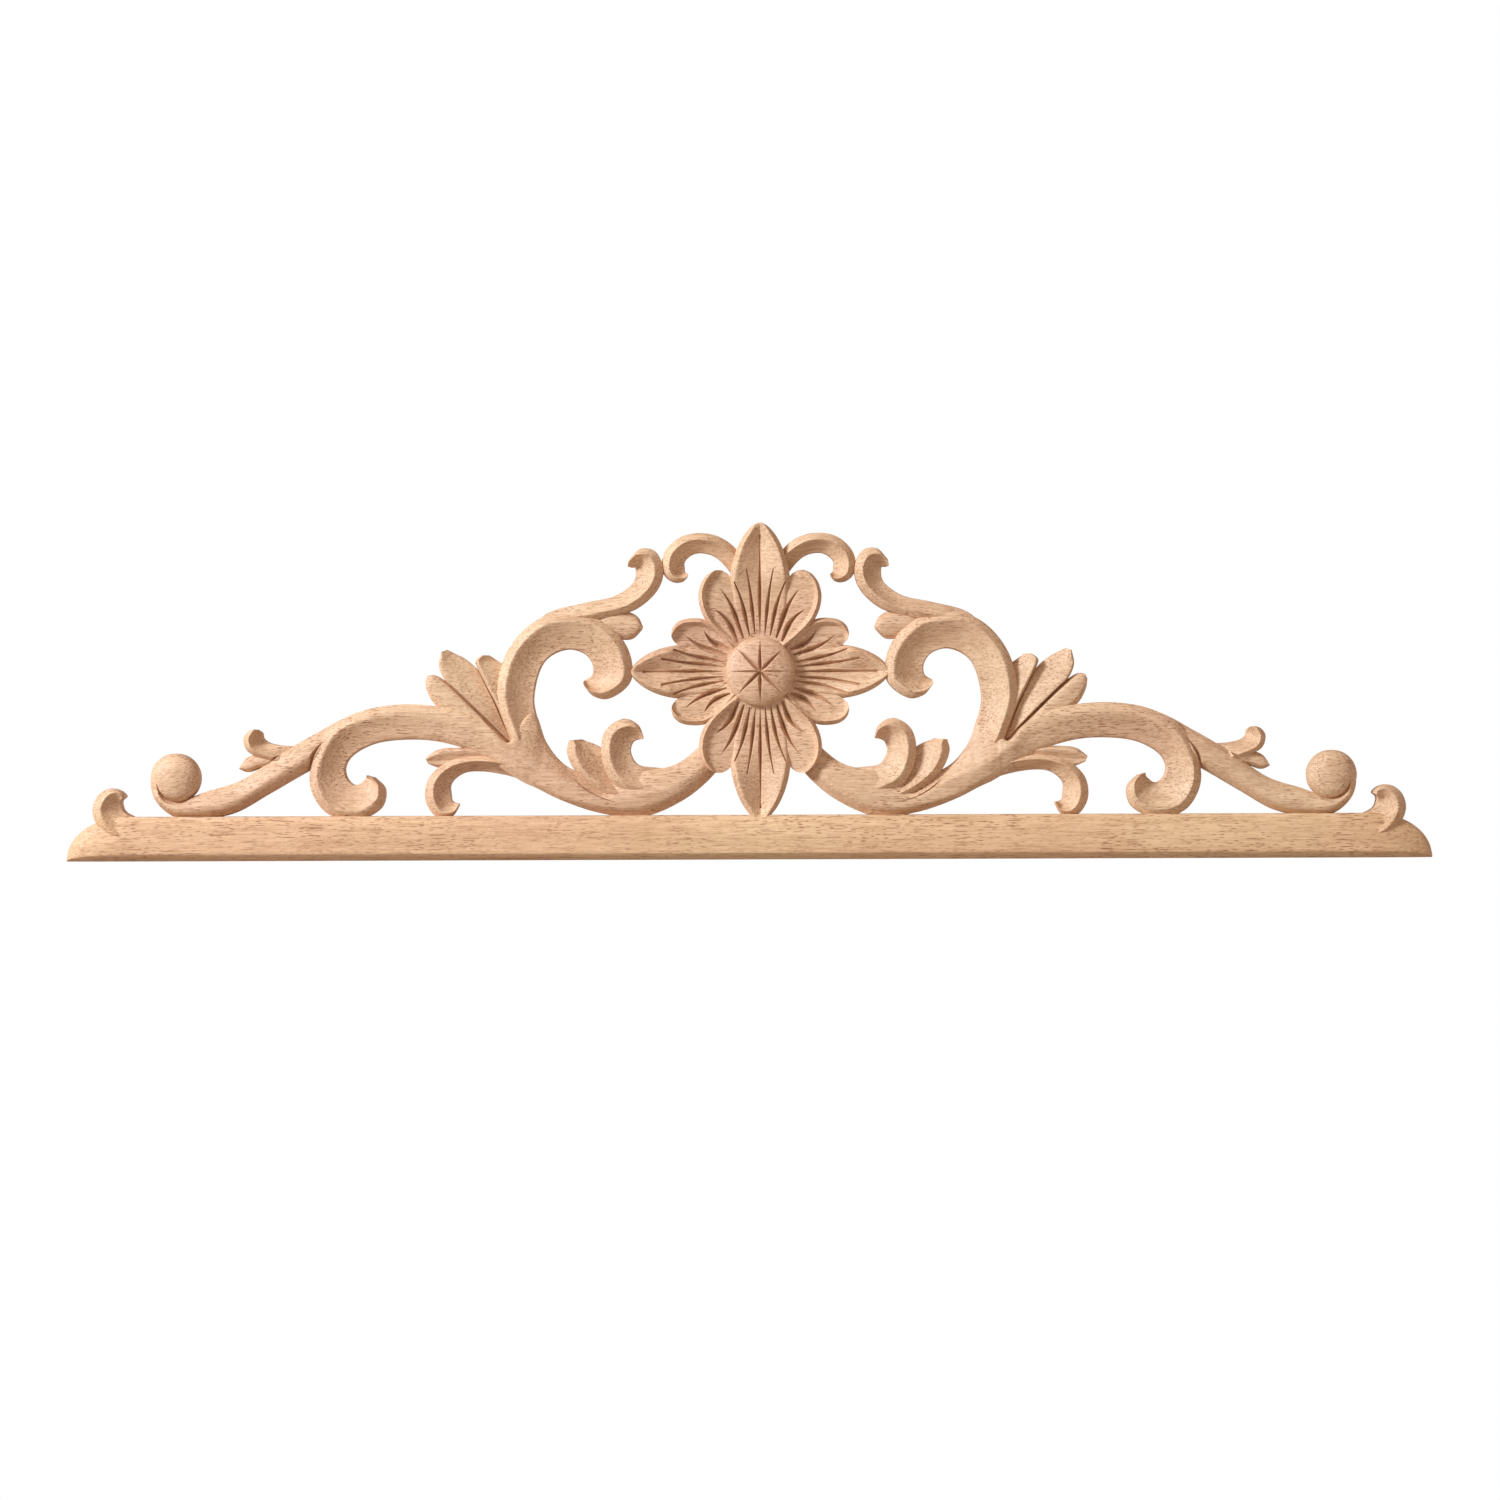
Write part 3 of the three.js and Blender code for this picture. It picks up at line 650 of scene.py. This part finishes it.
def main_section(side):
    """The main band: a foot with a ridge, a trunk that the scrolls grow from, a coved arch.

    The places of its profiles along the band are counted in spans of its rows.
    """
    low = 0 if side < 0 else RIGHT_TRUNK_LOWER
    back = carved_section(
        (0, ((0, -4.4), (0.16, -2), (0.55, 0), (0.77, -1), (1, -4.5))),
        (3 / MAIN_SPANS, ((0, -4.4), (0.14, -2.1), (0.5, 0), (0.77, -0.8), (1, -4.5))),
        (3.6 / MAIN_SPANS, ((0, -4), (0.3, -2), (0.5, -0.4), (0.8, -0.6), (1, -4.4))),
        (4 / MAIN_SPANS, ((0, -4.4), (0.38, -3.6), (0.56, -0.4), (0.8, -0.5), (1, -4.2))),
        (4.5 / MAIN_SPANS, ((0, -4.6), (0.24, -3.4), (0.4, -0.3), (0.84, -0.6), (1, -4))),
        (5.1 / MAIN_SPANS, ((0, -5), (0.1, -3.2), (0.38, 0), (0.88, -0.6), (1, -3))),
        (6 / MAIN_SPANS, ((0, -5.2), (0.07, -4.1), (0.6, 0.3), (0.9, -0.9), (1, -3))),
        (7 / MAIN_SPANS, ((0, -5.4 - low), (0.03, -4.3 - low), (0.7, 0.9), (0.9, -0.8), (1, -3))),
        (8 / MAIN_SPANS, ((0, -4.8 - low), (0.03, -3.7 - low), (0.7, 1), (0.9, -0.8), (1, -3))),
        (9 / MAIN_SPANS, ((0, -2.8 - low), (0.04, -1.7 - low), (0.64, 1), (0.88, -1), (1, -3))),
        (10 / MAIN_SPANS, ((0, -0.4), (0.06, 0.8), (0.25, 0.9), (0.86, -1.4), (1, -3))),
        (11 / MAIN_SPANS, ((0, -2.4), (0.14, -0.4), (0.36, 0), (0.92, -2.2), (1, -3.4))),
        (1, ((0, -3.2), (0.14, -0.7), (0.33, 0), (0.94, -3.2), (1, -4.6))))
    coved = scroll_section(cove=((0, 0.6), (0.7, 1)), bevel=((0, 0.7), (0.7, 1)))
    return blended(back, coved, ((11.5 / MAIN_SPANS, 0), (15 / MAIN_SPANS, 1)))


def arm(side, share):
    """One arm. `share` makes it shorter than it is drawn."""
    place_on_arm = on_arm(side, share)

    def on_rail_end(x, z):
        return side * (DRAWING_LENGTH / 2 - x), RAIL_TOP + z

    def carve(name, rows, section, height, sink=(0, 0), run=0.25, place=place_on_arm):
        return closed_mesh(name, band(rows, section, lambda x, z: height, place, sink, run))

    plain = scroll_section()
    first_scroll = scroll_section(cove=((0, 1.25), (0.3, 1), (0.6, 1.05), (0.8, 1.35), (1, 1.35)))
    end = scroll_section(cove=((0.45, 1), (0.8, 0.45)))
    small = scroll_section(cove=((0, 0.8), (0.5, 1.2)), rim_width=SMALL_RIM_WIDTH)
    growing = scroll_section(cove=((0, 0.25), (0.5, 1)), bevel=((0, 0.35), (0.4, 1)))
    stem = carved_section(*STEM_PROFILES, softness=1.0)
    leaf = carved_section(LEAF_PROFILE)
    dished_leaf = carved_section(DISHED_LEAF_PROFILE)
    top = SCROLL_RIDGE
    # Rows, section, level, how far the ends sink, and over which share of the length
    parts = [
        carve("main", MAIN_BAND, main_section(side), top - 0.6, (6, 0), 0.12),
        carve("c_scroll", C_SCROLL, first_scroll, top, (6, 0), 0.09),
        carve("upper_scroll", UPPER_SCROLL, growing, top - 0.4, (5, 0)),
        carve("crest", CREST, plain, top - 1.5, (5, 0)),
        carve("lower_curl", LOWER_CURL, plain, top - 1.5, (5, 0)),
        carve("inner_scroll", INNER_SCROLL, plain, top, (5, 0)),
        carve("inner_leaf", INNER_LEAF, plain, top - 0.9, (3.4, 0), 0.2),
        carve("twig", TWIG, small, top - 1.5, (5, 0)),
        carve("end_curl", END_CURL, end, top + 1.9, (3, 1.5), 0.14, place=on_rail_end),
        carve("stem", STEM, stem, top - 1, (7, 3.4)),
        carve("bud", BUD, leaf, LEAF_LEVEL, (3, 0)),
        carve("curl_leaf", CURL_LEAF, dished_leaf, LEAF_LEVEL, (3, 0)),
        carve("twig_leaf", TWIG_LEAF, leaf, LEAF_LEVEL - 1.5, (3, 0)),
        dome("ball", place_on_arm(*BALL_AT), BALL_RADIUS, BALL_EDGE, BALL_TOP, around=56, turns=12),
    ]
    for rows, profile, softness in zip(FAN_LEAVES, FAN_LEAF_PROFILES, FAN_LEAF_SOFTNESS):
        section = carved_section(profile, softness=softness)
        parts.append(carve("fan_leaf", rows, section, LEAF_LEVEL, (3, 0)))
    return parts


def petal_level(distance):
    """Height of the petals' rims at a distance from the flower's axis."""
    way = clamp((distance - PETAL_RISE_FROM) / PETAL_RISE_RUN)
    return PETAL_ROOT + (PETAL_TOP - PETAL_ROOT) * math.sin(math.pi * way)


def lobe_rows(belly, reach, half, blunt):
    """Sections of a pointed lobe that stands on the flower's axis."""
    stations = [(LOBE_ROOT_HALF, LOBE_ROOT_AT), (half * LOBE_NECK_HALF, belly * LOBE_NECK_AT)]
    for k in range(LOBE_TURNS + 1):
        share = math.sin(math.pi / 2 * k / LOBE_TURNS) * LOBE_TIP_AT
        stations.append((half * (1 - share * share) ** blunt, belly + (reach - belly) * share))
    return [(-side, out, side, out) for side, out in stations]


# Four groups of three lobes. The upright groups stand above the level ones.
UPRIGHT_GROUP = (UPRIGHT, UPRIGHT_SIDE_LOBE, UPRIGHT_VEINS, 0)
LEVEL_GROUP = (LEVEL, LEVEL_SIDE_LOBE, LEVEL_VEINS, LEVEL_PETALS_DROP)
GROUPS = [
    (*UPRIGHT_GROUP, lambda x, z: (x, z)),
    (*UPRIGHT_GROUP, lambda x, z: (x, -z)),
    (*LEVEL_GROUP, lambda x, z: (-z, x)),
    (*LEVEL_GROUP, lambda x, z: (z, x)),
]


def petal_group(lobe, side_rows, drop, turned):
    """A pointed lobe, and a lobe at each side of it that dives under it."""
    def level(x, z):
        return petal_level(math.hypot(x - FLOWER_X, z - FLOWER_Z)) - drop

    def on_flower(mirrored):
        def place(x, z):
            px, pz = turned(mirrored * x, z)
            return FLOWER_X + px, FLOWER_Z + pz
        return place

    rows = lobe_rows(**lobe)
    petals = [closed_mesh("lobe", band(rows, lobe_section, level, on_flower(1), mirrored=True))]
    for mirrored in (1, -1):
        rings = band(side_rows, side_lobe_section, level, on_flower(mirrored))
        petals.append(closed_mesh("side_lobe", rings))
    return petals


def cut(start, end, slant, turned, floor_at, depth, top, runout=0.0, bow=0.0, first_bite=0.2):
    """A V-shaped cut along a line of the flower, from `first_bite` of its depth to nothing."""
    rings = []
    for k in range(CUT_STATIONS + 1):
        share = k / CUT_STATIONS
        out = start + (end - start) * share
        bend = slant * (1 - bow * math.sin(math.pi * share))
        bite = depth * min(1, first_bite + 2 * share) * (1 - share**2)
        floor = floor_at(out) - bite + runout * share**3
        half = CUT_SLOPE * (top - floor)
        cx, cz = turned(out * math.sin(bend), out * math.cos(bend))
        nx, nz = turned(half * math.cos(bend), -half * math.sin(bend))
        x, z = FLOWER_X + cx, FLOWER_Z + cz
        rings.append([(x, -floor, z), (x + nx, -top, z + nz), (x - nx, -top, z - nz)])
    return closed_mesh("cut", rings)


def vein_cuts(veins, drop, turned):
    """The veins that fan out over one group of petals."""
    def floor_at(out):
        dish = root_dish((out - PETAL_RISE_FROM) / ROOT_DISH_RUN)
        return petal_level(out) - VEIN_FLOOR * dish - drop

    cuts = []
    top = PETAL_TOP + 1
    for degrees, reach in veins:
        slant = math.radians(degrees)
        runout = np.interp(degrees, *zip(*VEIN_RUNOUTS))
        depth = VEIN_DEPTH * np.interp(degrees, *zip(*VEIN_DEEPER))
        for angle in ([-slant, slant] if slant else [0]):
            line = (VEIN_START, reach, angle, turned)
            cuts.append(cut(*line, floor_at, depth, top, runout, VEIN_BOW))
    return cuts


def boss_cuts():
    """Eight cuts that cross the boss, with the two along the rail's way less deep."""
    def floor_at(out):
        return BOSS_EDGE + (BOSS_TOP - BOSS_EDGE) * math.sqrt(1 - (out / BOSS_RADIUS) ** 2)

    cuts = []
    for k in range(8):
        sin, cos = math.sin(math.pi / 4 * k), math.cos(math.pi / 4 * k)
        depth = BOSS_CUT_DEPTH * (BOSS_CUT_LEVEL_SHARE if k in (2, 6) else 1)

        def turned(x, z, sin=sin, cos=cos):
            return x * cos + z * sin, z * cos - x * sin
        line = (BOSS_CUT_START, BOSS_CUT_REACH, 0, turned)
        bites = {"runout": BOSS_CUT_RUNOUT, "first_bite": BOSS_CUT_FIRST_BITE}
        cuts.append(cut(*line, floor_at, depth, BOSS_TOP + 1, **bites))
    return cuts


def flower():
    """The petals with their veins, and the boss on them."""
    petals = []
    for lobe, side_rows, _, drop, turned in GROUPS:
        petals += petal_group(lobe, side_rows, drop, turned)
    petals = joined(petals)
    for _, _, veins, drop, turned in GROUPS:
        for each in vein_cuts(veins, drop, turned):
            combined(petals, each, "DIFFERENCE")
    centre = (FLOWER_X, FLOWER_Z)
    boss = dome("boss", centre, BOSS_RADIUS, BOSS_EDGE, BOSS_TOP, around=72, turns=16)
    for each in boss_cuts():
        combined(boss, each, "DIFFERENCE")
    return combined(petals, boss, "UNION")


def tooled(piece):
    """Gives the carved front the slight unevenness that hand tools leave. The back stays flat."""
    mesh = piece.data
    points = np.empty(len(mesh.vertices) * 3)
    mesh.vertices.foreach_get("co", points)
    points = points.reshape(-1, 3)
    for point in points:
        if point[1] < -1e-5:
            at = Vector((point[0], point[1], point[2])) / (TOOLED_WAVE * UNIT)
            rise = noise.noise(at) + 0.5 * noise.noise(at * 2.1)
            point[1] -= TOOLED_HEIGHT * UNIT * rise * clamp(-point[1] / (TOOLED_FULL * UNIT))
    mesh.vertices.foreach_set("co", points.ravel())
    mesh.update()


def headpiece():
    """The whole carving as one closed mesh."""
    arms = [(-1, 1), (1, RIGHT_ARM_SHARE)]
    carved = joined([part for each in arms for part in arm(*each)])
    for each in arms:
        for crease in crease_cuts(*each):
            combined(carved, crease, "DIFFERENCE")
    piece = joined([rail(), carved, flower()])
    piece.name = "carved_headpiece"
    piece.data.name = "carved_headpiece"
    tooled(piece)
    piece.data.shade_smooth()
    piece.data.set_sharp_from_angle(angle=math.radians(SHARP_ANGLE))
    return piece


def set_stops(node, stops):
    """Gives a colour ramp its stops: where each one is, and its colour."""
    elements = node.color_ramp.elements
    while len(elements) < len(stops):
        elements.new(0.5)
    for element, (at, colour) in zip(elements, stops):
        element.position = at
        element.color = (*colour, 1)


def wood():
    """Bare wood with its grain along the rail. Scales are features per metre on each axis."""
    material = bpy.data.materials.new("rubberwood")
    material.use_nodes = True
    nodes, links = material.node_tree.nodes, material.node_tree.links
    shader = nodes["Principled BSDF"]
    shader.inputs["Roughness"].default_value = WOOD_ROUGHNESS
    where = nodes.new("ShaderNodeTexCoord")

    def stretched(scale):
        mapping = nodes.new("ShaderNodeMapping")
        mapping.inputs["Scale"].default_value = scale
        links.new(where.outputs["Object"], mapping.inputs["Vector"])
        return mapping.outputs["Vector"]

    def noisy(scale, detail, rough=0.5):
        texture = nodes.new("ShaderNodeTexNoise")
        texture.inputs["Scale"].default_value = 1.0
        texture.inputs["Detail"].default_value = detail
        texture.inputs["Roughness"].default_value = rough
        links.new(stretched(scale), texture.inputs["Vector"])
        return texture.outputs["Fac"]

    def ramp(value, *stops):
        node = nodes.new("ShaderNodeValToRGB")
        set_stops(node, stops)
        links.new(value, node.inputs["Fac"])
        return node.outputs["Color"]

    def mixed(kind, factor, first, second):
        node = nodes.new("ShaderNodeMix")
        node.data_type = "RGBA"
        node.blend_type = kind
        sockets = (node.inputs[0], node.inputs[6], node.inputs[7])
        for socket, value in zip(sockets, (factor, first, second)):
            if isinstance(value, bpy.types.NodeSocket):
                links.new(value, socket)
            else:
                socket.default_value = value if isinstance(value, float) else (*value, 1)
        return node.outputs[2]

    def tinted(colour, tint, factor=1.0):
        return mixed("MULTIPLY", factor, colour, tint)

    def grey(value):
        return (value, value, value)

    def pores(scale, size, share):
        """Short dark vessels along the grain, in a share of the cells of their scale."""
        cells = nodes.new("ShaderNodeTexVoronoi")
        cells.inputs["Scale"].default_value = 1.0
        links.new(stretched(scale), cells.inputs["Vector"])
        dots = ramp(cells.outputs["Distance"], (size * 0.7, grey(1)), (size, grey(0)))
        chosen = nodes.new("ShaderNodeSeparateColor")
        links.new(cells.outputs["Color"], chosen.inputs["Color"])
        some = ramp(chosen.outputs["Red"], (1 - share, grey(0)), (1.02 - share, grey(1)))
        return tinted(dots, some)

    # Broad warm and pale areas, then growth bands and fine fibres along the rail
    broad = noisy((7, 16, 16), detail=3)
    colour = ramp(broad, (0.34, WOOD_ROSY), (0.5, WOOD_MIDDLE), (0.66, WOOD_PALE))
    bands = noisy((12, 150, 150), detail=3, rough=0.6)
    colour = tinted(colour, ramp(bands, (0.35, (0.86, 0.81, 0.76)), (0.6, grey(1.03))), 0.6)
    fibres = noisy((70, 1300, 1300), detail=2, rough=0.6)
    colour = tinted(colour, ramp(fibres, (0.32, (0.82, 0.75, 0.68)), (0.6, grey(1.05))))
    # The rail's board has another tint. Z is tenfold here, because a ramp's own steps are coarse.
    height = nodes.new("ShaderNodeSeparateXYZ")
    links.new(stretched((1, 1, 10)), height.inputs["Vector"])
    colour = tinted(colour, ramp(height.outputs["Z"], (0.08, RAIL_TINT), (0.14, CARVED_TINT)))
    # Long and fine pores, more of them in some places, which are dots where the wood is cut across
    long_pores = pores((75, 1500, 1500), 0.29, 0.55)
    fine_pores = pores((210, 1700, 1700), 0.3, 0.85)
    crowd = ramp(noisy((25, 70, 70), detail=2), (0.38, grey(0.4)), (0.6, grey(1)))
    dashes = tinted(mixed("LIGHTEN", 1.0, long_pores, fine_pores), crowd)
    colour = mixed("MIX", tinted(dashes, grey(0.9)), colour, WOOD_PORE)
    links.new(colour, shader.inputs["Base Color"])
    # Fuzz that the tools leave, and the pores' own depth
    fuzz = noisy((500, 900, 900), detail=3, rough=0.65)
    bump = nodes.new("ShaderNodeBump")
    bump.inputs["Strength"].default_value = FUZZ_STRENGTH
    bump.inputs["Distance"].default_value = FUZZ_DEPTH
    links.new(fuzz, bump.inputs["Height"])
    pits = nodes.new("ShaderNodeBump")
    pits.invert = True
    pits.inputs["Strength"].default_value = PORE_STRENGTH
    pits.inputs["Distance"].default_value = PORE_DEPTH
    links.new(dashes, pits.inputs["Height"])
    links.new(bump.outputs["Normal"], pits.inputs["Normal"])
    links.new(pits.outputs["Normal"], shader.inputs["Normal"])
    return material


def pale_floor():
    """A plain pale floor, well below the carving."""
    place = (0, 0, FLOOR_AT)
    bpy.ops.mesh.primitive_circle_add(
        vertices=96, radius=FLOOR_RADIUS, fill_type="NGON", location=place)
    disc = bpy.context.object
    disc.name = "floor"
    material = bpy.data.materials.new("pale_floor")
    material.use_nodes = True
    shader = material.node_tree.nodes["Principled BSDF"]
    shader.inputs["Base Color"].default_value = (*FLOOR_COLOUR, 1)
    shader.inputs["Roughness"].default_value = FLOOR_ROUGHNESS
    disc.data.materials.append(material)


def studio():
    """A white horizon behind the carving, and a dimmer, warmer light from above and below."""
    scene = bpy.context.scene
    scene.view_settings.view_transform = "Standard"
    world = bpy.data.worlds.new("studio")
    world.use_nodes = True
    nodes, links = world.node_tree.nodes, world.node_tree.links
    where = nodes.new("ShaderNodeTexCoord")
    parts = nodes.new("ShaderNodeSeparateXYZ")
    ramp = nodes.new("ShaderNodeValToRGB")
    height = nodes.new("ShaderNodeMapRange")
    height.inputs["From Min"].default_value = -1
    links.new(where.outputs["Generated"], parts.inputs["Vector"])
    links.new(parts.outputs["Z"], height.inputs["Value"])
    links.new(height.outputs["Result"], ramp.inputs["Fac"])
    links.new(ramp.outputs["Color"], nodes["Background"].inputs["Color"])
    set_stops(ramp, STUDIO_SKY)
    scene.world = world


def key_light():
    """One soft lamp to the left of the carving, above it and in front."""
    data = bpy.data.lights.new("key", "AREA")
    data.shape = "DISK"
    data.size = KEY_SIZE
    data.energy = KEY_POWER
    data.color = KEY_COLOUR
    light = bpy.data.objects.new("key", data)
    light.location = KEY_AT
    bpy.context.scene.collection.objects.link(light)
    target = Vector(KEY_AIM) - light.location
    light.rotation_euler = target.to_track_quat("-Z", "Y").to_euler()


def camera():
    """Straight from the front, as in the photograph, with a very slight roll."""
    data = bpy.data.cameras.new("camera")
    data.lens = data.sensor_width * CAMERA_DISTANCE / CAMERA_WIDTH
    view = bpy.data.objects.new("camera", data)
    view.location = (CAMERA_AIM[0], -CAMERA_DISTANCE, CAMERA_AIM[1])
    view.rotation_euler = (math.pi / 2, math.radians(CAMERA_ROLL), 0)
    bpy.context.scene.collection.objects.link(view)
    bpy.context.scene.camera = view


camera()
studio()
key_light()
pale_floor()
carving = headpiece()
carving.data.materials.clear()
carving.data.materials.append(wood())
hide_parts("headpiece")
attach(carving, "root")
